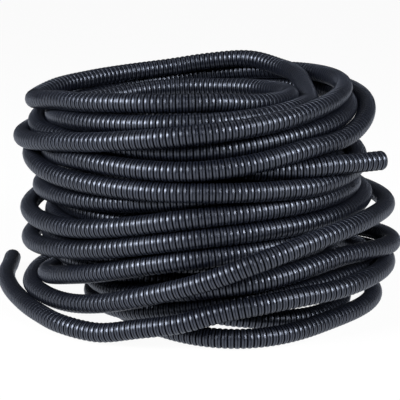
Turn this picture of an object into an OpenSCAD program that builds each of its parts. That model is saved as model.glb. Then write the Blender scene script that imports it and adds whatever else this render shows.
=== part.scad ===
// A coil of black corrugated conduit, lying flat.
// Millimetres, +Z up. The origin is on the floor, on the axis of the upper rows of the winding.
// The wound turns are one turned solid with its eye, built up row by row. The turns that have
// sprung loose, and the two free ends, are swept along their own routes.

/* [Conduit] */
// outside diameter over the corrugations
conduit_d = 21; // [16:0.5:22]
// thickness of the wall, from the crown of a corrugation to the bore where the cables go
wall_t = 2.5; // [1.8:0.1:4]
// distance from one corrugation to the next
rib_pitch = 6.2; // [4:0.1:9]
// depth of the groove between two corrugations
groove_depth = 0.9; // [0.3:0.1:1.5]
// width of that groove
groove_w = 1.6; // [0.8:0.1:3]
// corrugations on the straight stretch at each cut end
end_ribs = 6; // [3:1:9]

/* [Winding] */
// nominal outside diameter of the wound rows
winding_d = 400; // [380:1:410]
// slack between one row of turns and the next
row_slack = 0.9; // [0.6:0.1:1.2]
// slack between turns that lie side by side in a row
turn_slack = 0.3; // [0.1:0.1:1]
// how far the lowest rows have slid to the right
slide = 40; // [20:1:44]

/* [Hidden] */
tube_sides = 10;
conduit_r = conduit_d / 2;
bore_r = conduit_r - wall_t;
row_pitch = conduit_d + row_slack;
turn_pitch = conduit_d + turn_slack;
web_half = 0.6 * conduit_r;
end_len = end_ribs * rib_pitch;
black = [0.09, 0.09, 0.10];
dark = [0.13, 0.13, 0.15];

// Each row of turns from the floor up: how much wider it is than the nominal radius,
// how far its centre lies off the axis, and how many turns lie side by side in it.
rows = [
    [-21, slide, -18, 2],
    [-11, slide, -20, 2],
    [-8, slide, -16, 2],
    [-8, slide + 2, -14, 2],
    [-1, -4, -4, 3],
    [-2, -6, -5, 3],
    [-13, -4, -10, 2],
    [-6, -9, -8, 2],
    [1, -2, -4, 3],
    [5, -4, -2, 3],
    [-20, -2, -12, 2]
];
row_last = len(rows) - 1;

// Two turns have slipped down on the left side. For each: the row it hangs from, how many rows
// down it hangs, how far its centre lies off the axis, and the bearing where it leaves its row.
slipped_low = [4, 2.3, 8, -4, 97];
slipped_high = [5, 2.2, -8, -5, 103];

// The loose stretches are laid by hand. Each point of a route is the middle of the conduit:
// its bearing in degrees, how many turns it lies inside the nominal edge, and how many rows up.
function laid(route) = [for (p = route)
    let (out = winding_d / 2 - p[1] * turn_pitch)
    [out * cos(p[0]), out * sin(p[0]), conduit_r + p[2] * row_pitch]];

// The outer end springs out along the floor and climbs onto the second row.
tail_route = laid([
    [159, -2.35, 0], [169, -1.65, 0], [181, -1, 0], [195, -0.45, 0], [210, -0.2, 0],
    [225, -0.2, 0], [239, -0.15, 0.15], [252, 0, 0.55], [265, 0.05, 0.9], [278, 0, 1],
    [290, -0.4, 1]
]);

// One wide turn leaves the second row at the back, crosses the front from low on the left
// to the middle of the right side, and goes back into the winding behind.
crossing_route = laid([
    [81, 1.9, 1], [98, 2.35, 1], [117, 2.35, 0.95], [134, 1.65, 0.85], [151, 0.75, 0.75],
    [165, 0.35, 0.65], [179, 0.35, 0.6], [193, 0.45, 0.65], [207, 0.7, 0.8],
    [223, 0.8, 1.05], [241, 0.5, 1.5], [258, -0.2, 2.2], [273, -0.75, 3.15],
    [286, -1.25, 4.05], [300, -1.25, 4.7], [314, -1.1, 5], [329, -0.95, 5.1],
    [345, -0.95, 5], [360, -0.9, 4.95], [375, -0.95, 5], [389, -1.1, 5.05],
    [403, -1, 5.1], [415, -0.65, 5.05], [428, 0, 5], [442, 0.8, 5], [457, 0.8, 5]
]);

// The top turn comes up out of the eye, lies on the winding, comes round the front and ends
// as a smaller loop that drops across the eye.
top_route = laid([
    [-54, 2.05, 10], [-38, 2.65, 10], [-20, 3.25, 10.15], [1, 3.55, 10.5], [23, 3.4, 10.9],
    [45, 2.85, 11], [66, 2.5, 11], [85, 2.2, 11], [104, 2.05, 11], [123, 1.85, 11],
    [143, 1.6, 11], [161, 1.15, 11], [179, 0.65, 10.85], [194, 0.7, 10.75],
    [209, 0.95, 10.9], [226, 1.25, 11], [243, 1.45, 11], [260, 1.6, 11], [277, 1.8, 11],
    [293, 2.05, 11], [311, 2.7, 11], [329, 3.65, 10.8], [352, 4.85, 10.6],
    [383, 5.8, 10.5], [423, 6.45, 10.4], [467, 6.15, 10.35], [499, 5.3, 10.3],
    [522, 4.1, 10.1], [538, 2.9, 10], [552, 2.2, 10]
]);

// The inner end comes out between two rows at the front and points to the right.
branch_route = laid([[-76, 0.3, 8], [-63, 0.15, 8], [-52, -0.25, 8], [-40, -0.6, 7.95]]);

// the cut ends carry on straight from their routes
function unit(v) = v / norm(v);
tail_out = unit(tail_route[0] - tail_route[1]);
branch_out = unit(branch_route[3] - branch_route[2]);

// ---- swept stretches -------------------------------------------------------------------

// direction of a route at point i
function along(route, i) =
    unit(route[min(i + 1, len(route) - 1)] - route[max(i - 1, 0)]);

// one ring of the tube: a circle across the direction t, around the point p
function ring(p, t) =
    let (side = unit(cross(t, [0, 0, 1])), up = cross(side, t))
    [for (k = [0 : tube_sides - 1])
        let (a = 360 * (k + 0.5) / tube_sides)
        p + conduit_r * (cos(a) * side + sin(a) * up)];

// a closed tube through every point of a route
module swept(route, start_dir, end_dir) {
    last = len(route) - 1;
    dirs = [for (i = [0 : last]) i == 0 ? start_dir : i == last ? end_dir : along(route, i)];
    points = [for (i = [0 : last]) each ring(route[i], dirs[i])];
    walls = [for (i = [0 : last - 1], k = [0 : tube_sides - 1])
        let (a = i * tube_sides, n = (k + 1) % tube_sides)
        each [
            [a + k, a + n, a + tube_sides + k],
            [a + n, a + tube_sides + n, a + tube_sides + k]
        ]];
    near_cap = [for (k = [tube_sides - 1 : -1 : 0]) k];
    far_cap = [for (k = [0 : tube_sides - 1]) last * tube_sides + k];
    polyhedron(points, concat(walls, [near_cap, far_cap]));
}

// ---- the winding -----------------------------------------------------------------------

function row_z(k) = conduit_r + k * row_pitch;

// middles of the turns that lie side by side in row k, from the outside in
function turns_at(k) =
    [for (j = [0 : rows[k][3] - 1]) winding_d / 2 + rows[k][0] - conduit_r - j * turn_pitch];

module at_row(k) {
    translate([rows[k][1], rows[k][2], row_z(k)]) children();
}

// half section of row k: its turns side by side, with a web between them that leaves the
// grooves open on both faces
module row_section(k) {
    at = turns_at(k);
    inner = at[len(at) - 1];
    for (x = at) {
        translate([x, 0]) circle(r = conduit_r, $fn = 48);
    }
    translate([inner, -web_half]) square([at[0] - inner, 2 * web_half]);
}

// ring from the middle of the innermost turn to the middle of the outermost, one row high
module row_prism(k, z) {
    at = turns_at(k);
    translate([rows[k][1], rows[k][2], z])
    rotate_extrude($fn = 72)
    translate([at[len(at) - 1], 0]) square([at[0] - at[len(at) - 1], row_pitch]);
}

module wound_turns() {
    color(black) {
        for (k = [0 : row_last]) {
            at_row(k) rotate_extrude($fn = 72) row_section(k);
        }
        // the hidden core, only where one row lies on another
        for (k = [0 : row_last - 1]) {
            intersection() {
                row_prism(k, row_z(k));
                row_prism(k + 1, row_z(k));
            }
        }
    }
}

// the part of a turn that hangs from the outermost turn of its row, lowest on the left
module slipped_turn(turn) {
    out = turns_at(turn[0])[0];
    translate([turn[2], turn[3], row_z(turn[0])])
    rotate([0, -asin(turn[1] * row_pitch / out), 0])
    rotate([0, 0, turn[4]])
    rotate_extrude(angle = 270 - turn[4], $fn = 72)
    translate([out, 0]) circle(r = conduit_r, $fn = 48);
}

module slipped_turn_low() {
    color(dark) slipped_turn(slipped_low);
}

module slipped_turn_high() {
    color(dark) slipped_turn(slipped_high);
}

module crossing_turn() {
    last = len(crossing_route) - 1;
    color(dark)
    swept(crossing_route, along(crossing_route, 0), along(crossing_route, last));
}

module top_turn() {
    last = len(top_route) - 1;
    color(dark)
    swept(top_route, along(top_route, 0), along(top_route, last));
}

module outer_tail() {
    last = len(tail_route) - 1;
    color(dark)
    swept(tail_route, -tail_out, along(tail_route, last));
}

module inner_tail() {
    last = len(branch_route) - 1;
    color(dark)
    swept(branch_route, along(branch_route, 0), branch_out);
}

// ---- the cut ends ----------------------------------------------------------------------

// half section of one corrugation from the bore out: a crowned rib between two half grooves
module rib_section(z) {
    rib_w = rib_pitch - groove_w;
    crown_drop = groove_depth / 2;
    crown_r = (pow(rib_w / 2, 2) + pow(crown_drop, 2)) / (2 * crown_drop);
    floor_r = conduit_r - groove_depth;
    translate([bore_r, z]) square([floor_r - bore_r, rib_pitch]);
    intersection() {
        translate([bore_r, z + groove_w / 2]) square([conduit_r, rib_w]);
        translate([conduit_r - crown_r, z + rib_pitch / 2]) circle(r = crown_r, $fn = 72);
    }
}

// straight stretch with its real corrugations and its open bore, from z = 0 up
module cut_end() {
    rotate_extrude($fn = 72)
    for (i = [0 : end_ribs - 1]) {
        rib_section(i * rib_pitch);
    }
}

// stand a shape at a point with its own +Z along a direction
module stand(p, dir) {
    translate(p)
    rotate([0, acos(dir[2]), atan2(dir[1], dir[0])])
    children();
}

module outer_end() {
    color(black) stand(tail_route[0], tail_out) cut_end();
}

module inner_end() {
    color(black) stand(branch_route[3], branch_out) cut_end();
}

wound_turns();
slipped_turn_low();
slipped_turn_high();
crossing_turn();
top_turn();
outer_tail();
outer_end();
inner_tail();
inner_end();
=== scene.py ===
"""A coil of black corrugated conduit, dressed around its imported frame.

The whole length is one line of conduit. It runs from the outer cut end along the loose tail,
through the wide crossing turn and the upper laps, over the top and down the inside of the
winding, back up the lowest laps, and out again at the inner cut end. Lengths in the tables
are in millimetres, and the meshes are in metres.
"""

import logging
import math
from dataclasses import dataclass, field
from enum import Enum

import bpy
import numpy as np
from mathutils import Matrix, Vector

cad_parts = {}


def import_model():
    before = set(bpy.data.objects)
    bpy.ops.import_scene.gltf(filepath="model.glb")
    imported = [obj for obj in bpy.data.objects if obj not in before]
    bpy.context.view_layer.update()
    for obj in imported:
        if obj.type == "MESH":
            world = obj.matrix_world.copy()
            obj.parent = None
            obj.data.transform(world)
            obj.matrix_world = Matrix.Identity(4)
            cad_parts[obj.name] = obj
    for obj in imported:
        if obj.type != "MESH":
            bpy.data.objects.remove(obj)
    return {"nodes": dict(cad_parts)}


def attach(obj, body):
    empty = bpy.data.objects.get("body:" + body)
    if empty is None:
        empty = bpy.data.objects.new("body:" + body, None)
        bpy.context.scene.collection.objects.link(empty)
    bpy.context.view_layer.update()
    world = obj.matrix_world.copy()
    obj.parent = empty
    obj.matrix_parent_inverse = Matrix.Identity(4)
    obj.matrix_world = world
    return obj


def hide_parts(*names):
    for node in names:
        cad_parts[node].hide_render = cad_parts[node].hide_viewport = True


LOG = logging.getLogger("conduit")
MM = 0.001
TURN = 360.0
EIGHTH = 45.0
BODY = "root"

# how deep in the groove the edge of a crown counts as being, from 0 to 1
CROWN_EDGE = 0.25

Row = tuple[float, float, float]


class End(Enum):
    """What the far end of a length of conduit does."""

    ONWARD = "object"
    CUT = "bare"


# ---- the conduit ---------------------------------------------------------------------------


@dataclass(frozen=True)
class Section:
    """The conduit's own section and corrugation, in millimetres.

    Args:
        diameter: outside diameter over the corrugations.
        wall_t: thickness of the wall, from a crown to the bore.
        pitch: distance from one corrugation to the next.
        groove_depth: depth of the groove between two corrugations.
        groove_w: width of that groove.
        crown_drop: how far a crown falls from its middle to its edge.
        lip: run of the short slope from a crown's edge to the groove's floor.
        bevel: bevel from a cut end's flat rim into its bore.
        bore_wave: depth of the bore's own faint corrugations.
        bore_ribs: corrugations along which a cut end's bore is open.
        rim_painted_shade: how dark the painted shade on the rim of a cut end is, from 0 to 1.
        bore_shade_fade: distance in over which the bore's painted shade would go from light to
            dark.
        sides: facets round the conduit.
    """

    diameter: float = 21.0
    wall_t: float = 2.5
    pitch: float = 6.2
    groove_depth: float = 0.9
    groove_w: float = 1.6
    crown_drop: float = 0.4
    lip: float = 0.25
    bevel: float = 0.5
    bore_wave: float = 0.35
    bore_ribs: int = 14
    rim_painted_shade: float = 0.3
    bore_shade_fade: float = 20.0
    sides: int = 16

    @property
    def radius(self) -> float:
        """Outside radius over the corrugations."""
        return self.diameter / 2

    def profile(self) -> list[tuple[float, float, float]]:
        """Work out one corrugation from the middle of a groove to the next.

        Returns:
            For each ring, its share of the pitch, its radius and how deep in the groove it is.
        """
        half = self.groove_w / 2
        floor = self.radius - self.groove_depth
        edge = self.radius - self.crown_drop
        near, far = half - self.lip / 2, half + self.lip / 2
        rings = [
            (near, floor, 1.0),
            (far, edge, CROWN_EDGE),
            (self.pitch / 2, self.radius, 0.0),
            (self.pitch - far, edge, CROWN_EDGE),
            (self.pitch - near, floor, 1.0),
        ]
        return [(s / self.pitch, r, g) for s, r, g in rings]

    def bore(self) -> list[tuple[float, float, float]]:
        """Work out the inside of a cut end: its flat rim, and the bore's wall to its cap.

        Returns:
            For each ring, how far in from the cut it is, its radius and how dark its painted shade
            is.
        """
        inside = self.radius - self.wall_t
        floor = self.radius - self.groove_depth
        wall = [
            (i * self.pitch / 2, inside + self.bore_wave * (i % 2))
            for i in range(1, 2 * self.bore_ribs + 1)
        ]
        rings = [(0.0, floor), (0.0, inside + self.bevel), (self.bevel, inside), *wall]
        # painted shade: the rim of a cut end is a little dark, and the bore darkens the further in
        # it goes
        return [(at, r, min(self.rim_painted_shade + at / self.bore_shade_fade, 1.0)) for at, r in rings]


@dataclass(frozen=True)
class Sizes:
    """The winding's driving sizes, as in the part's source, in millimetres."""

    winding_d: float = 400.0
    row_pitch: float = 21.9
    turn_pitch: float = 21.3

    def knot(self, bearing: float, turns_in: float, rows_up: float, lift: float) -> "Knot":
        """Place a point of a laid route.

        Args:
            bearing: direction from the axis in degrees.
            turns_in: how many turns it lies inside the nominal edge.
            rows_up: how many rows up its middle is.
            lift: height of the middle of the lowest row.

        Returns:
            The knot at that point.
        """
        out = self.winding_d / 2 - turns_in * self.turn_pitch
        return Knot(bearing, 0.0, 0.0, out, lift + rows_up * self.row_pitch)


@dataclass(frozen=True)
class Knot:
    """A point that the line of the conduit passes through.

    Args:
        bearing: direction from the lap's centre in degrees, counted on from turn to turn.
        x: centre of the lap it belongs to.
        y: centre of the lap it belongs to.
        out: distance from that centre.
        up: height of the middle of the conduit.
    """

    bearing: float
    x: float
    y: float
    out: float
    up: float

    def place(self) -> np.ndarray:
        """Give the knot's point in millimetres."""
        turned = math.radians(self.bearing)
        return np.array(
            [self.x + self.out * math.cos(turned), self.y + self.out * math.sin(turned), self.up]
        )

    def moved(self, out: float, up: float) -> "Knot":
        """Give the knot as it lies after moving out and up."""
        return Knot(self.bearing, self.x, self.y, self.out + out, self.up + up)


@dataclass(frozen=True)
class Lap:
    """One turn, by its distance out and its height at eight bearings from the left side on.

    Args:
        outs: distances from the lap's centre, at the left, round the front and the back.
        ups: heights of the middle of the conduit at the same bearings.
        centre: where the lap's centre lies off the axis.
    """

    outs: tuple[float, ...]
    ups: tuple[float, ...]
    centre: tuple[float, float] = (0.0, 0.0)

    def knots(self, start: float) -> list[Knot]:
        """Give the lap's knots.

        Args:
            start: bearing of the left side, counted on from the laps before.

        Returns:
            One knot every 45 degrees.
        """
        x, y = self.centre
        return [
            Knot(start + EIGHTH * i, x, y, out, up)
            for i, (out, up) in enumerate(zip(self.outs, self.ups))
        ]


@dataclass(frozen=True)
class Stretch:
    """A length of the conduit that is made as one mesh.

    Args:
        name: the piece's name.
        begins: bearing at which it starts, counted along the whole conduit.
        stands_for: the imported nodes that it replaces.
    """

    name: str
    begins: float
    stands_for: tuple[str, ...] = ()


# the loose stretches as laid in the part's source: bearing, turns in, rows up
TAIL: tuple[Row, ...] = (
    (159, -2.35, 0), (169, -1.65, 0), (181, -1, 0), (195, -0.45, 0), (210, -0.2, 0),
    (225, -0.2, 0), (239, -0.15, 0.15), (252, 0, 0.55), (265, 0.05, 0.9), (278, 0, 1),
    (290, -0.4, 1),
)  # fmt: skip
CROSSING: tuple[Row, ...] = (
    (81, 1.9, 1), (98, 2.35, 1), (117, 2.35, 0.95), (134, 1.65, 0.85), (151, 0.75, 0.75),
    (165, 0.35, 0.65), (179, 0.35, 0.6), (193, 0.45, 0.65), (207, 0.7, 0.8),
    (223, 0.8, 1.05), (241, 0.5, 1.5), (258, -0.2, 2.2), (273, -0.75, 3.15),
    (286, -1.25, 4.05), (300, -1.25, 4.7), (314, -1.1, 5), (329, -0.95, 5.1),
    (345, -0.95, 5), (360, -0.9, 4.95), (375, -0.95, 5), (389, -1.1, 5.05),
    (403, -1, 5.1), (415, -0.65, 5.05), (428, 0, 5), (442, 0.8, 5), (457, 0.8, 5),
)  # fmt: skip
TOP: tuple[Row, ...] = (
    (-54, 2.05, 10), (-38, 2.65, 10), (-20, 3.25, 10.15), (1, 3.55, 10.5), (23, 3.4, 10.9),
    (45, 2.85, 11), (66, 2.5, 11), (85, 2.2, 11), (104, 2.05, 11), (123, 1.85, 11),
    (143, 1.6, 11), (161, 1.15, 11), (179, 0.65, 10.85), (194, 0.7, 10.75),
    (209, 0.95, 10.9), (226, 1.25, 11), (243, 1.45, 11), (260, 1.6, 11), (277, 1.8, 11),
    (293, 2.05, 11), (311, 2.7, 11), (329, 3.65, 10.8), (352, 4.85, 10.6),
    (383, 5.8, 10.5), (423, 6.45, 10.4), (467, 6.15, 10.35), (499, 5.3, 10.3),
    (522, 4.1, 10.1), (538, 2.9, 10), (552, 2.2, 10),
)  # fmt: skip
BRANCH: tuple[Row, ...] = ((-76, 0.3, 8), (-63, 0.15, 8), (-52, -0.25, 8), (-40, -0.6, 7.95))

# how far each of them has settled from its route: bearing, distance out and distance up
TAIL_DRIFT: tuple[Row, ...] = (
    (169, 0, 0), (181, -3, 0), (195, -5, 0), (210, -4.5, 0), (225, -2.5, 0), (239, -5, -3.2),
    (252, -3, -1.5), (265, 0, 1), (278, 0, 12), (290, -2, 19.5),
)  # fmt: skip
CROSSING_DRIFT: tuple[Row, ...] = (
    (165, -1, 0), (179, -1, 0), (193, 0, -1), (207, 1, -3.5), (223, 1, -4.5), (241, 1, -1),
    (258, 0, 3), (273, 0, 1), (286, -1, 1), (329, -1.5, 0), (345, -3, 0), (360, -3, -2),
    (375, -3, -6), (389, -1, -10), (403, -1, -13), (415, 0, -15), (428, 0, -14), (442, 0, -7),
    (457, 0, 0),
)  # fmt: skip
TOP_DRIFT: tuple[Row, ...] = (
    (-20, 0, 0), (1, -1, 0), (23, 1, 2), (45, 4, 3.5), (66, 7.5, 9), (85, 0, 4),
    (104, -3, -4), (123, -4.5, -9.5), (143, -5.5, -12.5), (161, -2, -15), (179, -2, -17),
    (194, -5.5, -10.5), (209, -8.5, -9.5), (226, -4.5, -8.5), (243, 0, -3.5), (260, 0, -1.5),
    (277, 0, -1), (293, -5.5, -5.5), (311, -6.5, -7.5), (329, -3, -3), (352, -2, 0),
    (423, 0, 0), (467, 0, -1), (499, 0, -3), (522, 0, -4), (538, 0, -4), (552, 0, 0),
)  # fmt: skip
BRANCH_DRIFT: tuple[Row, ...] = ((-76, -19, -3), (-63, -10.5, -2), (-52, -5, -1), (-40, 0, 0))

# centre of the lowest laps, which have slid to the right and forward
SLID = (40.0, -18.0)

# the outer end's run on the second row, between the tail and the crossing turn:
# bearing, centre, distance out and height
SECOND_ROW: tuple[tuple[float, ...], ...] = (
    (305, 40, -20, 176, 56), (325, 40, -20, 176, 58), (353, 40, -20, 173, 55),
    (400, 40, -20, 173, 44),
)  # fmt: skip

# distances out and heights from the left side on, every 45 degrees
UPPER_LAPS: tuple[Lap, ...] = (
    Lap((193, 187, 195, 194, 170, 174, 180, 182), (110, 114, 140, 153, 153, 139, 132, 132)),
    Lap((179, 172, 181, 174, 167, 170, 174, 180), (135, 142, 155, 160, 163, 158, 158, 166)),
    Lap((184, 184, 197, 196, 175, 178, 184, 182), (181, 170, 168, 167, 171, 174, 178, 186)),
    Lap((171, 178, 195, 191, 187, 190, 184, 180), (187, 191, 185, 198, 230, 238, 227, 214)),
    Lap((180, 162, 177, 178, 172, 172, 172, 184), (209, 202, 203, 221, 238, 238, 222, 204)),
    Lap((196, 184, 195, 175, 168, 167, 166, 160), (193, 205, 224, 235, 243, 245, 238, 226)),
)
# the stretch of a lap from the upper laps to the top turn
LAST_UPPER = Lap((160, 167, 174), (215, 225, 231))
# the lap of the inner layer that comes down onto the floor
LANDING = Lap(
    (128, 128, 126, 129, 128, 128, 128, 136), (38, 33, 19, 10.5, 10.5, 10.5, 10.5, 10.5), SLID
)
LOWER_LAPS: tuple[Lap, ...] = (
    Lap((147, 152, 171, 150, 165, 168, 166, 160), (10.5,) * 8, SLID),
    Lap((154, 156, 170, 149, 162, 160, 158, 158), (14, 19, 48, 52.5, 53, 50, 46, 40), SLID),
    Lap((160, 163, 176, 160, 184, 176, 168, 172), (37, 46, 69, 82, 70, 58, 52, 44), SLID),
    Lap((176, 177, 195, 188, 178, 180, 180, 186), (29, 61, 100, 112, 108, 98, 88, 82)),
    Lap((192, 185, 195, 194, 190, 192, 188, 182), (75, 90, 118, 127, 129, 123, 118, 116)),
)


@dataclass(frozen=True)
class Layer:
    """A hidden layer of turns, wound as an even spiral that follows the slide of the lowest rows.

    Args:
        laps: number of turns.
        ups: heights at its start and its end.
        out: distance from its centre.
        wave: how far it wanders in and out.
        wave_step: how far that wave goes on from one knot to the next, in radians.
        slide_top: height at which the slide begins, from above.
        slide_rise: height over which it grows to its full.
        slide_in: how much narrower the layer is where it has slid.
        bulge: how far it stands out on the left, behind the middle rows.
        bulge_up: height at which it does so.
        bulge_reach: how far above and below that the bulge reaches.
    """

    laps: int
    ups: tuple[float, float]
    out: float
    wave: float = 2.5
    wave_step: float = 1.7
    slide_top: float = 66.0
    slide_rise: float = 24.0
    slide_in: float = 20.0
    bulge: float = 20.0
    bulge_up: float = 95.0
    bulge_reach: float = 32.0

    def knots(self, start: float) -> list[Knot]:
        """Give the layer's knots.

        Args:
            start: bearing of its first knot.

        Returns:
            Knots every 45 degrees.
        """
        count = self.laps * 8
        knots = []
        for i in range(count):
            bearing = start + EIGHTH * i
            up = self.ups[0] + (self.ups[1] - self.ups[0]) * i / (count - 1)
            low = min(max((self.slide_top - up) / self.slide_rise, 0.0), 1.0)
            slid = low * low * (3 - 2 * low)
            left = max(0.0, -math.cos(math.radians(bearing)))
            beside = math.exp(-(((up - self.bulge_up) / self.bulge_reach) ** 2))
            wave = self.wave * math.sin(self.wave_step * i) + self.bulge * left * beside
            out = self.out + wave - self.slide_in * slid
            knots.append(Knot(bearing, SLID[0] * slid, SLID[1] * slid, out, up))
        return knots


@dataclass(frozen=True)
class Settling:
    """How turns that lie in each other are pushed apart.

    Args:
        passes: rounds of pushing.
        gap: least distance kept between two turns, in millimetres.
        reach: how far past that gap pairs are looked for.
        refresh: rounds after which they are looked for again.
        apart: least number of points along the line between the two points of a pair.
        push: share of what is missing by which each of the two moves in a round.
        smoothings: times the moves are smoothed in a round.
        hold: share of its move that a point keeps in a round.
        fixed: points at each end of the line that stay where they are.
    """

    passes: int = 90
    gap: float = 21.2
    reach: float = 8.0
    refresh: int = 10
    apart: int = 14
    push: float = 0.22
    smoothings: int = 4
    hold: float = 0.995
    fixed: int = 6


@dataclass
class Line:
    """The middle of the conduit from one cut end to the other.

    Args:
        sizes: the winding's driving sizes.
        section: the conduit's section.
        inner: the inner layer, which leads down to the floor.
        innermost: the innermost layer, which leads up again.
        settling: how its turns are pushed apart.
        end_ribs: corrugations on the straight stretch at each cut end.
        bearing_step: degrees from one point of the drawn line to the next.
        step: distance between the points that are settled, in millimetres.
    """

    sizes: Sizes = field(default_factory=Sizes)
    section: Section = field(default_factory=Section)
    inner: Layer = field(default_factory=lambda: Layer(9, (222.0, 50.0), 149.0))
    innermost: Layer = field(default_factory=lambda: Layer(5, (92.0, 186.0), 127.0))
    settling: Settling = field(default_factory=Settling)
    end_ribs: int = 6
    bearing_step: float = 1.5
    step: float = 8.0

    def laid(self, route: tuple[Row, ...], drift: tuple[Row, ...], start: float) -> list[Knot]:
        """Turn a laid route into knots.

        Args:
            route: bearing, turns in and rows up of each point.
            drift: bearing, and how far out and up the conduit has settled from the route.
            start: bearing to add, so that bearings count on from turn to turn.

        Returns:
            The route's knots.
        """
        lift = self.section.radius
        at, out, up = (np.array(column) for column in zip(*drift))
        return [
            self.sizes.knot(start + b, t, r, lift).moved(
                float(np.interp(b, at, out)), float(np.interp(b, at, up))
            )
            for b, t, r in route
        ]

    def knots(self) -> tuple[list[Knot], list[Stretch]]:
        """Lay the whole conduit.

        Returns:
            The knots from the outer end to the inner end, and the stretches it is made in.
        """
        out = self.laid(TAIL, TAIL_DRIFT, 0)
        out += [Knot(*row) for row in SECOND_ROW]
        out += self.laid(CROSSING, CROSSING_DRIFT, TURN)
        shown = ("outer_end", "outer_tail", "crossing_turn")
        stretches = [Stretch("outer_run", out[0].bearing, shown)]
        # laps are counted from the left side, which is at half a turn
        bearing = 2.5 * TURN
        stretches.append(Stretch("upper_laps", bearing, ("wound_turns",)))
        for lap in UPPER_LAPS:
            out += lap.knots(bearing)
            bearing += TURN
        out += LAST_UPPER.knots(bearing)
        stretches.append(Stretch("top_laps", bearing, ("top_turn",)))
        out += self.laid(TOP, TOP_DRIFT, bearing + TURN / 2)
        bearing += 2 * TURN
        begin = bearing + EIGHTH
        halfway = begin + self.inner.laps // 2 * TURN
        stretches.append(Stretch("inner_layer", begin, ("wound_turns",)))
        stretches.append(Stretch("inner_low_layer", halfway, ("wound_turns",)))
        out += self.inner.knots(begin)[:-1]
        bearing += self.inner.laps * TURN
        out += LANDING.knots(bearing)
        bearing += TURN
        slipped = ("slipped_turn_low", "slipped_turn_high", "wound_turns")
        stretches.append(Stretch("lower_laps", bearing, slipped))
        for lap in LOWER_LAPS:
            out += lap.knots(bearing)
            bearing += TURN
        stretches.append(Stretch("innermost_run", bearing, ("inner_tail", "inner_end")))
        out += self.innermost.knots(bearing)
        bearing += self.innermost.laps * TURN
        out += self.laid(BRANCH, BRANCH_DRIFT, bearing + TURN / 2)
        return out, stretches

    def points(self) -> tuple[np.ndarray, list[tuple[Stretch, float]]]:
        """Draw the line through its knots and settle it.

        Returns:
            Evenly spaced points in millimetres, and each stretch with its distance along.
        """
        knots, stretches = self.knots()
        table = np.array([[k.bearing, k.x, k.y, k.out, k.up] for k in knots])
        bearings = np.arange(table[0, 0], table[-1, 0], self.bearing_step)
        x, y, out, up = (flowing(table[:, 0], table[:, i], bearings) for i in range(1, 5))
        turned = np.radians(bearings)
        line = np.stack([x + out * np.cos(turned), y + out * np.sin(turned), up], axis=1)
        straight = np.arange(0, self.end_ribs * self.section.pitch, self.step)[:, None]
        straight = self.end_ribs * self.section.pitch - straight
        first, second, last, third = (knots[i].place() for i in (0, 1, -1, -2))
        leaving = (first - second) / np.linalg.norm(first - second)
        ending = (last - third) / np.linalg.norm(last - third)
        line = np.concatenate([line[0] + straight * leaving, line, last + straight[::-1] * ending])
        along = distances(line)
        begin = len(straight)
        laid = along[begin : begin + len(bearings)]
        marks = [(s, float(np.interp(s.begins, bearings, laid))) for s in stretches]
        marks[0] = (marks[0][0], 0.0)
        count = round(along[-1] / self.step)
        even = np.linspace(0, along[-1], count + 1)
        line = np.stack([np.interp(even, along, line[:, i]) for i in range(3)], axis=1)
        return self.settled(line), marks

    def settled(self, line: np.ndarray) -> np.ndarray:
        """Push turns that lie in each other apart, keeping the line smooth and on the floor.

        Args:
            line: evenly spaced points.

        Returns:
            The points after settling.
        """
        rule = self.settling
        moved = np.zeros_like(line)
        near = np.empty((0, 2), int)
        for i in range(rule.passes):
            now = line + moved
            if i % rule.refresh == 0:
                near = close_pairs(now, rule.gap + rule.reach, rule.apart)
            a, b = near[:, 0], near[:, 1]
            apart = now[b] - now[a]
            dist = np.maximum(np.linalg.norm(apart, axis=1), 0.01)
            short = np.maximum(rule.gap - dist, 0)
            push = apart * (rule.push * short / dist)[:, None]
            shift = np.zeros_like(line)
            for axis in range(3):
                shift[:, axis] -= np.bincount(a, push[:, axis], len(line))
                shift[:, axis] += np.bincount(b, push[:, axis], len(line))
            moved += shift
            for _ in range(rule.smoothings):
                moved[1:-1] = moved[1:-1] / 2 + (moved[:-2] + moved[2:]) / 4
            moved *= rule.hold
            moved[: rule.fixed] = moved[-rule.fixed :] = 0
            moved[:, 2] = np.maximum(moved[:, 2], self.section.radius - line[:, 2])
        LOG.info("settled: %d pairs, deepest overlap %.1f mm", len(short), short.max())
        return line + moved


def flowing(at: np.ndarray, values: np.ndarray, where: np.ndarray) -> np.ndarray:
    """Pass a smooth curve through values.

    Args:
        at: where the values are, rising.
        values: the values.
        where: where the curve is wanted.

    Returns:
        The curve's values there.
    """
    width = np.diff(at)
    slope = np.diff(values) / width
    lean = np.empty_like(values)
    lean[1:-1] = (slope[:-1] * width[1:] + slope[1:] * width[:-1]) / (width[:-1] + width[1:])
    lean[0], lean[-1] = slope[0], slope[-1]
    i = np.clip(np.searchsorted(at, where, side="right") - 1, 0, len(width) - 1)
    t = (where - at[i]) / width[i]
    h = width[i]
    return (
        values[i] * (1 + 2 * t) * (1 - t) ** 2
        + lean[i] * h * t * (1 - t) ** 2
        + values[i + 1] * t * t * (3 - 2 * t)
        + lean[i + 1] * h * t * t * (t - 1)
    )


def distances(line: np.ndarray) -> np.ndarray:
    """Measure how far along the line each of its points lies."""
    return np.concatenate([[0], np.cumsum(np.linalg.norm(np.diff(line, axis=0), axis=1))])


def close_pairs(points: np.ndarray, reach: float, apart: int) -> np.ndarray:
    """Find the pairs of points of a line that lie close without following one another.

    Args:
        points: the line's points.
        reach: distance under which a pair counts.
        apart: least difference of place along the line.

    Returns:
        One row of two indices for each pair.
    """
    square = (points**2).sum(axis=1)
    found, batch = [], 500
    for start in range(0, len(points), batch):
        rows = slice(start, start + batch)
        gap = square[rows, None] + square[None] - 2 * points[rows] @ points.T
        a, b = np.nonzero(gap < reach * reach)
        a += start
        keep = b - a > apart
        found.append(np.stack([a[keep], b[keep]], axis=1))
    return np.concatenate(found)


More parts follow.
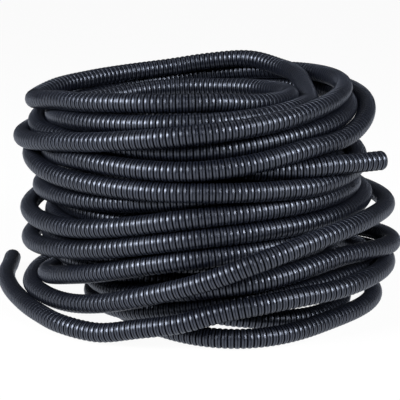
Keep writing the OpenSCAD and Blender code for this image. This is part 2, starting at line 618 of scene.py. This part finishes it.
@dataclass
class Conduit:
    """The conduit's meshes: corrugated stretches laid end to end along its line."""

    line: Line = field(default_factory=Line)

    def build(self, finish: bpy.types.Material) -> list[bpy.types.Object]:
        """Args:
            finish: the conduit's material.

        Returns:
            The pieces, from the outer end to the inner end.
        """
        section = self.line.section
        points, marks = self.line.points()
        along = distances(points)
        ribs = round(along[-1] / section.pitch)
        pitch = along[-1] / ribs
        LOG.info("line of %.2f m, %d corrugations of %.3f mm", along[-1] * MM, ribs, pitch)
        starts = [round(mark / pitch) for _, mark in marks] + [ribs]
        pieces = []
        for i, (stretch, _) in enumerate(marks):
            first, last = starts[i], starts[i + 1]
            stacks, path = self.stretch(points, along, pitch, first, last, ribs)
            if first == 0:
                path.reverse()
            mesh = tube_mesh(stretch.name, stacks)
            mesh.materials.append(finish)
            piece = bpy.data.objects.new(stretch.name, mesh)
            bpy.context.scene.collection.objects.link(piece)
            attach(piece, BODY)
            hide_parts(*stretch.stands_for)
            LOG.info("%s: %.2f m", stretch.name, (last - first) * pitch * MM)
            pieces.append(piece)
        return pieces

    def rings(
        self, points: np.ndarray, along: np.ndarray, at: np.ndarray, radii: np.ndarray
    ) -> np.ndarray:
        """Stand rings across the line.

        Args:
            points: the whole line's points.
            along: how far along the line each of them lies.
            at: how far along the line each ring stands.
            radii: the rings' radii.

        Returns:
            The rings' points by ring, side and axis, in metres.
        """
        # the line's direction is taken between two places this far off, in millimetres
        look = 0.5
        middle, ahead, behind = (
            np.stack([flowing(along, points[:, i], at + shift) for i in range(3)], axis=1)
            for shift in (0.0, look, -look)
        )
        run = ahead - behind
        run /= np.linalg.norm(run, axis=1)[:, None]
        side = np.cross(run, [0.0, 0.0, 1.0])
        side /= np.linalg.norm(side, axis=1)[:, None]
        up = np.cross(side, run)
        sides = self.line.section.sides
        turned = (np.arange(sides) * 2 * math.pi / sides)[None, :, None]
        across = side[:, None] * np.cos(turned) + up[:, None] * np.sin(turned)
        return (middle[:, None] + across * radii[:, None, None]) * MM

    def stretch(
        self,
        points: np.ndarray,
        along: np.ndarray,
        pitch: float,
        first: int,
        last: int,
        ribs: int,
    ) -> tuple[list["Stack"], list[Row]]:
        """Work out one corrugated stretch, with an open bore where it is a cut end.

        Args:
            points: the whole line's points.
            along: how far along the line each of them lies.
            pitch: distance from one corrugation to the next.
            first: number of its first corrugation.
            last: number of the first corrugation after it.
            ribs: number of corrugations on the whole line.

        Returns:
            Its stacks of rings, and the points that it follows in metres.
        """
        section = self.line.section
        profile = section.profile()
        share = np.array([p[0] for p in profile])
        at = (np.arange(first, last)[:, None] + share[None]).ravel() * pitch
        at = np.concatenate([[first * pitch], at, [last * pitch]])
        floor = (section.radius - section.groove_depth, 1.0)
        shape = np.array([p[1:] for p in profile])
        shape = np.concatenate([[floor], np.tile(shape, (last - first, 1)), [floor]])
        outside = self.rings(points, along, at, shape[:, 0])
        stacks = [Stack(outside, shape[:, 1], first > 0, last < ribs, True, at / pitch)]
        # a bore's rings carry painted shade where the outside carries its groove depth
        inwards, radii, painted_shade = np.array(section.bore()).T
        if first == 0:
            wall = self.rings(points, along, inwards, radii)
            stacks += [Stack(wall[1::-1], painted_shade[1::-1]), Stack(wall[:0:-1], painted_shade[:0:-1], True)]
        if last == ribs:
            wall = self.rings(points, along, along[-1] - inwards, radii)
            stacks += [Stack(wall[:2], painted_shade[:2]), Stack(wall[1:], painted_shade[1:], False, True)]
        path = [tuple(p) for p in outside[:: len(profile)].mean(axis=1).tolist()]
        return stacks, [*path, tuple(outside[-1].mean(axis=0).tolist())]


@dataclass(frozen=True)
class Stack:
    """Rings of points to be skinned one after another.

    Args:
        rings: points by ring, side and axis, in metres.
        depth: how deep in a groove each ring is, from 0 to 1, or in a cut end's bore how dark its
            painted shade is.
        near_cap: whether the first ring is closed.
        far_cap: whether the last ring is closed.
        edged: whether the crowns have crisp edges, so that grooves are shaded by themselves.
        counted: how far along each ring is, counted in corrugations.
    """

    rings: np.ndarray
    depth: np.ndarray
    near_cap: bool = False
    far_cap: bool = False
    edged: bool = False
    counted: np.ndarray | None = None

    def faces(self, start: int) -> tuple[np.ndarray, list[np.ndarray]]:
        """Work out the faces.

        Args:
            start: number of the stack's first point in its mesh.

        Returns:
            The four-sided faces, and the caps.
        """
        count, sides, _ = self.rings.shape
        ring = start + np.arange(count - 1)[:, None] * sides
        here = np.arange(sides)[None]
        there = (here + 1) % sides
        far = ring + sides
        quads = np.stack([ring + here, ring + there, far + there, far + here], -1)
        caps = []
        if self.near_cap:
            caps.append(start + np.arange(sides)[::-1])
        if self.far_cap:
            caps.append(start + (count - 1) * sides + np.arange(sides))
        return quads.reshape(-1, 4), caps

    def smooth(self) -> np.ndarray:
        """Tell which of the four-sided faces are shaded smooth."""
        deepest = np.maximum(self.depth[1:], self.depth[:-1])
        soft = (deepest <= CROWN_EDGE) if self.edged else np.ones(len(deepest), bool)
        return np.repeat(soft, self.rings.shape[1])

    def place(self) -> np.ndarray:
        """Give each ring's place along in corrugations, or 0 inside a bore."""
        return np.zeros(len(self.depth)) if self.counted is None else self.counted


def tube_mesh(name: str, stacks: list[Stack]) -> bpy.types.Mesh:
    """Skin stacks of rings into one mesh.

    Args:
        name: the mesh's name.
        stacks: the stacks.

    Returns:
        The mesh, with its groove depth (inside a bore, its painted shade) and its place along as
        attributes.
    """
    quads, caps, start = [], [], 0
    for stack in stacks:
        found, closed = stack.faces(start)
        quads.append(found)
        caps += closed
        start += stack.rings.shape[0] * stack.rings.shape[1]
    quads = np.concatenate(quads)
    corners = np.concatenate([quads.ravel(), *caps]).astype(np.int32)
    sizes = np.array([4] * len(quads) + [len(cap) for cap in caps])
    starts = np.concatenate([[0], np.cumsum(sizes)[:-1]]).astype(np.int32)
    smooth = np.concatenate([*(s.smooth() for s in stacks), np.zeros(len(caps), bool)])
    mesh = bpy.data.meshes.new(name)
    mesh.vertices.add(start)
    points = np.concatenate([stack.rings.reshape(-1, 3) for stack in stacks])
    mesh.vertices.foreach_set("co", points.astype(np.float32).ravel())
    mesh.loops.add(len(corners))
    mesh.loops.foreach_set("vertex_index", corners)
    mesh.polygons.add(len(sizes))
    mesh.polygons.foreach_set("loop_start", starts)
    mesh.polygons.foreach_set("use_smooth", smooth)
    mesh.update(calc_edges=True)
    mesh.validate()
    around = stacks[0].rings.shape[1]
    depth = np.repeat(np.concatenate([stack.depth for stack in stacks]), around)
    place = np.repeat(np.concatenate([stack.place() for stack in stacks]), around)
    ends = np.empty(2 * len(mesh.edges), dtype=np.int32)
    mesh.edges.foreach_get("vertices", ends)
    sharp = mesh.attributes.new("sharp_edge", "BOOLEAN", "EDGE")
    crisp = np.isclose(depth[ends].reshape(-1, 2), CROWN_EDGE).all(axis=1)
    sharp.data.foreach_set("value", crisp)
    for label, values in (("groove", depth), ("counted", place)):
        kept = mesh.attributes.new(label, "FLOAT", "POINT")
        kept.data.foreach_set("value", values.astype(np.float32))
    return mesh


# ---- finishes ------------------------------------------------------------------------------


def plastic_wear_and_shade() -> bpy.types.NodeTree:
    """Make the shared effect of handled black plastic: mottle, dusty crowns, rubs, and painted
    shade in the grooves and in a crease round each crown.

    Returns:
        A shader group that puts out a colour with painted shade in it, the painted shade itself, a
        roughness and a height.
    """
    group = bpy.data.node_groups.new("plastic_wear_and_shade", "ShaderNodeTree")
    face = group.interface
    for label in ("Plastic", "Dust"):
        face.new_socket(label, in_out="INPUT", socket_type="NodeSocketColor")
    for label in ("Dust Amount", "Shade", "Crease Shade", "Gloss"):
        face.new_socket(label, in_out="INPUT", socket_type="NodeSocketFloat")
    face.new_socket("Color", in_out="OUTPUT", socket_type="NodeSocketColor")
    for label in ("Painted Shade", "Roughness", "Height"):
        face.new_socket(label, in_out="OUTPUT", socket_type="NodeSocketFloat")
    nodes, links = group.nodes, group.links
    given = nodes.new("NodeGroupInput")
    out = nodes.new("NodeGroupOutput")
    place = nodes.new("ShaderNodeTexCoord")
    groove = nodes.new("ShaderNodeAttribute")
    groove.attribute_name = "groove"
    counted = nodes.new("ShaderNodeAttribute")
    counted.attribute_name = "counted"

    def noise(scale: float, detail: float, rough: float) -> bpy.types.Node:
        """Add a noise texture in the part's own frame."""
        node = nodes.new("ShaderNodeTexNoise")
        node.inputs["Scale"].default_value = scale
        node.inputs["Detail"].default_value = detail
        node.inputs["Roughness"].default_value = rough
        links.new(place.outputs["Object"], node.inputs["Vector"])
        return node

    def ranged(source: bpy.types.NodeSocket, low: float, high: float, to: tuple) -> bpy.types.Node:
        """Map a value's range onto another."""
        node = nodes.new("ShaderNodeMapRange")
        node.inputs["From Min"].default_value = low
        node.inputs["From Max"].default_value = high
        node.inputs["To Min"].default_value = to[0]
        node.inputs["To Max"].default_value = to[1]
        links.new(source, node.inputs["Value"])
        return node

    def maths(kind: str, *sources: object) -> bpy.types.Node:
        """Add a Math node fed by sockets or numbers."""
        node = nodes.new("ShaderNodeMath")
        node.operation = kind
        for i, source in enumerate(sources):
            if isinstance(source, bpy.types.NodeSocket):
                links.new(source, node.inputs[i])
            else:
                node.inputs[i].default_value = source
        return node

    mottle = noise(34.0, 4.0, 0.6)
    rub = noise(140.0, 5.0, 0.7)
    grain = noise(900.0, 2.0, 0.5)

    # a fine crease runs round the middle of each crown: the bump presses it in, and painted shade
    # darkens it and takes away its reflection
    tone = ranged(mottle.outputs["Fac"], 0.3, 0.7, (0.75, 1.3))
    share = maths("FRACT", counted.outputs["Fac"])
    share = maths("SUBTRACT", share.outputs[0], 0.5)
    share = maths("ABSOLUTE", share.outputs[0])
    crease = ranged(share.outputs[0], 0.06, 0.16, (1.0, 0.0))
    crease.interpolation_type = "SMOOTHSTEP"
    painted_crease_shade = maths("MULTIPLY", crease.outputs["Result"], given.outputs["Crease Shade"])
    # painted shade: grooves and the depths of a bore are darkened by the Shade amount, and the
    # crease by its own
    painted_shade_mask = maths("MULTIPLY", groove.outputs["Fac"], given.outputs["Shade"])
    painted_shade_mask = maths("MAXIMUM", painted_shade_mask.outputs[0], painted_crease_shade.outputs[0])
    links.new(painted_shade_mask.outputs[0], out.inputs["Painted Shade"])
    # the painted shade darkens the plastic's tone
    painted_shade_mask = maths("SUBTRACT", 1.0, painted_shade_mask.outputs[0])
    tone = maths("MULTIPLY", tone.outputs["Result"], painted_shade_mask.outputs[0])
    tinted = nodes.new("ShaderNodeVectorMath")
    tinted.operation = "SCALE"
    links.new(given.outputs["Plastic"], tinted.inputs[0])
    links.new(tone.outputs[0], tinted.inputs["Scale"])

    # dust lies on the crowns in specks
    speck = ranged(rub.outputs["Fac"], 0.45, 0.7, (0.15, 1.0))
    crown = maths("SUBTRACT", 1.0, groove.outputs["Fac"])
    dusty = maths("MULTIPLY", crown.outputs[0], given.outputs["Dust Amount"])
    dusty = maths("MULTIPLY", dusty.outputs[0], speck.outputs["Result"])
    mixed = nodes.new("ShaderNodeMix")
    mixed.data_type = "RGBA"
    links.new(dusty.outputs[0], mixed.inputs["Factor"])
    links.new(tinted.outputs["Vector"], mixed.inputs["A"])
    links.new(given.outputs["Dust"], mixed.inputs["B"])
    links.new(mixed.outputs["Result"], out.inputs["Color"])

    # rubbing dulls the gloss in places, and a groove is duller all over
    rubbed = ranged(rub.outputs["Fac"], 0.35, 0.7, (-0.05, 0.1))
    dull = maths("MULTIPLY", groove.outputs["Fac"], 0.5)
    rough = maths("ADD", given.outputs["Gloss"], rubbed.outputs["Result"])
    rough = maths("ADD", rough.outputs[0], dull.outputs[0])
    links.new(rough.outputs[0], out.inputs["Roughness"])

    height = maths("MULTIPLY", grain.outputs["Fac"], 0.6)
    height = maths("MULTIPLY_ADD", rub.outputs["Fac"], 0.8, height.outputs[0])
    height = maths("MULTIPLY_ADD", crease.outputs["Result"], -5.0, height.outputs[0])
    links.new(height.outputs[0], out.inputs["Height"])
    return group


@dataclass(frozen=True)
class BlackPlastic:
    """Semi-gloss black flexible plastic.

    Args:
        plastic: its own colour.
        dust: colour of the dust that lies on the crowns.
        dust_amount: how much of it there is.
        painted_shade: painted shade, how much darker a groove is than a crown and how much of its
            reflection goes.
        crease: painted shade, the same for the fine line round the middle of each crown.
        gloss: roughness of a clean crown.
        specular: strength of its plain reflection.
        ior: its refractive index.
        sheen: tint of that reflection.
        grain: strength of the grain.
        relief: height of the grain in metres.
    """

    plastic: Row = (0.0035, 0.005, 0.0125)
    dust: Row = (0.09, 0.095, 0.11)
    dust_amount: float = 0.06
    painted_shade: float = 0.95
    crease: float = 0.75
    gloss: float = 0.31
    specular: float = 1.0
    ior: float = 1.6
    sheen: Row = (0.74, 0.82, 1.0)
    grain: float = 0.6
    relief: float = 0.00003

    def material(self, wear_and_shade: bpy.types.NodeTree) -> bpy.types.Material:
        """Make the material.

        Args:
            wear_and_shade: the shared group of wear and painted shade.

        Returns:
            The material.
        """
        material = bpy.data.materials.new("black_conduit_plastic")
        material.use_nodes = True
        nodes, links = material.node_tree.nodes, material.node_tree.links
        shader = nodes["Principled BSDF"]
        shader.inputs["Specular IOR Level"].default_value = self.specular
        shader.inputs["IOR"].default_value = self.ior
        shader.inputs["Specular Tint"].default_value = (*self.sheen, 1.0)
        wear_and_shade_node = nodes.new("ShaderNodeGroup")
        wear_and_shade_node.node_tree = wear_and_shade
        for label, value in (
            ("Plastic", (*self.plastic, 1.0)),
            ("Dust", (*self.dust, 1.0)),
            ("Dust Amount", self.dust_amount),
            ("Shade", self.painted_shade),
            ("Crease Shade", self.crease),
            ("Gloss", self.gloss),
        ):
            wear_and_shade_node.inputs[label].default_value = value
        bump = nodes.new("ShaderNodeBump")
        bump.inputs["Strength"].default_value = self.grain
        bump.inputs["Distance"].default_value = self.relief
        links.new(wear_and_shade_node.outputs["Height"], bump.inputs["Height"])
        links.new(wear_and_shade_node.outputs["Color"], shader.inputs["Base Color"])
        # painted shade: a groove, the crease and the depths of a bore see almost none of the room,
        # so metallic with a near-black colour takes their plain reflection away too
        links.new(wear_and_shade_node.outputs["Painted Shade"], shader.inputs["Metallic"])
        links.new(wear_and_shade_node.outputs["Roughness"], shader.inputs["Roughness"])
        links.new(bump.outputs["Normal"], shader.inputs["Normal"])
        return material


# ---- the studio ----------------------------------------------------------------------------


@dataclass(frozen=True)
class Softbox:
    """A square soft lamp that looks at the coil.

    Args:
        name: the lamp's name.
        place: where it stands, in metres.
        size: its side, in metres.
        power: its power in watts.
    """

    name: str
    place: Row
    size: float
    power: float

    def build(self, target: Vector) -> bpy.types.Object:
        """Make the lamp, turned to a point."""
        lamp = bpy.data.lights.new(self.name, "AREA")
        lamp.shape = "SQUARE"
        lamp.size = self.size
        lamp.energy = self.power
        held = bpy.data.objects.new(self.name, lamp)
        held.location = self.place
        held.rotation_euler = (target - Vector(self.place)).to_track_quat("-Z", "Y").to_euler()
        bpy.context.scene.collection.objects.link(held)
        return held


@dataclass
class Studio:
    """A plain white floor under soft lamps, and the camera.

    Args:
        target: the point that the camera looks at, in metres.
        distance: from the camera to that point.
        elevation: of the camera above it, in degrees.
        lens: focal length in millimetres on a 36 mm sensor.
        floor_size: side of the floor in metres.
        floor_tone: the floor's own tone, under the lamps.
        floor_rough: its roughness.
        floor_white: share of plain white that the floor shows by itself.
        fill: strength of the even light from all round.
    """

    target: Row = (0.0035, 0.0, 0.114)
    distance: float = 1.45
    elevation: float = 13.0
    lens: float = 112.5
    floor_size: float = 40.0
    floor_tone: float = 0.9
    floor_rough: float = 0.9
    floor_white: float = 0.95
    fill: float = 0.06
    lamps: tuple[Softbox, ...] = (
        Softbox("key_softbox", (-2.13, -1.49, 1.6), 1.15, 125.0),
        Softbox("right_softbox", (2.02, -1.63, 1.6), 0.95, 87.0),
        Softbox("top_softbox", (0.1, 0.5, 2.1), 0.8, 3.0),
    )

    def camera(self) -> bpy.types.Object:
        """Make the camera at the coil's front, a little above it."""
        seen = bpy.data.cameras.new("camera")
        seen.lens = self.lens
        seen.sensor_width = 36.0
        eye = bpy.data.objects.new("camera", seen)
        lift = math.radians(self.elevation)
        away = Vector((0.0, -math.cos(lift), math.sin(lift))) * self.distance
        eye.location = Vector(self.target) + away
        eye.rotation_euler = (-away).to_track_quat("-Z", "Y").to_euler()
        bpy.context.scene.collection.objects.link(eye)
        bpy.context.scene.camera = eye
        return eye

    def seen_directly(self, nodes: bpy.types.Nodes, links: bpy.types.NodeLinks) -> bpy.types.Node:
        """Add a mask for what the camera, a reflection or a clear material sees."""
        path = nodes.new("ShaderNodeLightPath")
        mask = path.outputs["Is Camera Ray"]
        for kind in ("Is Glossy Ray", "Is Transmission Ray"):
            either = nodes.new("ShaderNodeMath")
            either.operation = "MAXIMUM"
            links.new(mask, either.inputs[0])
            links.new(path.outputs[kind], either.inputs[1])
            mask = either.outputs[0]
        return either

    def world(self) -> None:
        """Make the weak even light that fills the shadows."""
        world = bpy.data.worlds.new("studio")
        world.use_nodes = True
        bpy.context.scene.world = world
        shader = world.node_tree.nodes["Background"]
        shader.inputs["Color"].default_value = (1.0, 1.0, 1.0, 1.0)
        shader.inputs["Strength"].default_value = self.fill

    def floor(self) -> bpy.types.Object:
        """Make the floor, white and still carrying the coil's shadow."""
        half = self.floor_size / 2
        mesh = bpy.data.meshes.new("floor")
        corners = [(-half, -half, 0), (half, -half, 0), (half, half, 0), (-half, half, 0)]
        mesh.from_pydata(corners, [], [(0, 1, 2, 3)])
        floor = bpy.data.objects.new("floor", mesh)
        bpy.context.scene.collection.objects.link(floor)
        material = bpy.data.materials.new("floor_white")
        material.use_nodes = True
        nodes, links = material.node_tree.nodes, material.node_tree.links
        shader = nodes["Principled BSDF"]
        shader.inputs["Base Color"].default_value = (*[self.floor_tone] * 3, 1.0)
        shader.inputs["Roughness"].default_value = self.floor_rough
        glow = nodes.new("ShaderNodeEmission")
        glow.inputs["Color"].default_value = (1.0, 1.0, 1.0, 1.0)
        glow.inputs["Strength"].default_value = 1.0
        mask = self.seen_directly(nodes, links)
        share = nodes.new("ShaderNodeMath")
        share.operation = "MULTIPLY"
        share.inputs[1].default_value = self.floor_white
        links.new(mask.outputs[0], share.inputs[0])
        mix = nodes.new("ShaderNodeMixShader")
        links.new(share.outputs[0], mix.inputs["Fac"])
        links.new(shader.outputs["BSDF"], mix.inputs[1])
        links.new(glow.outputs["Emission"], mix.inputs[2])
        links.new(mix.outputs["Shader"], nodes["Material Output"].inputs["Surface"])
        mesh.materials.append(material)
        return floor

    def build(self) -> None:
        """Make the camera, the floor, the lamps and the even light."""
        self.camera()
        self.floor()
        self.world()
        for lamp in self.lamps:
            lamp.build(Vector(self.target))
        bpy.context.scene.view_settings.view_transform = "Standard"


def main() -> None:
    """Build the coil and its studio around the frame."""
    logging.basicConfig(level=logging.INFO, format="%(message)s")
    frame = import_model()
    LOG.info("frame of %d packed nodes", len(frame["nodes"]))
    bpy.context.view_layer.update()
    Studio().build()
    finish = BlackPlastic().material(plastic_wear_and_shade())
    pieces = Conduit().build(finish)
    LOG.info("%d pieces", len(pieces))


if __name__ == "__main__":
    main()
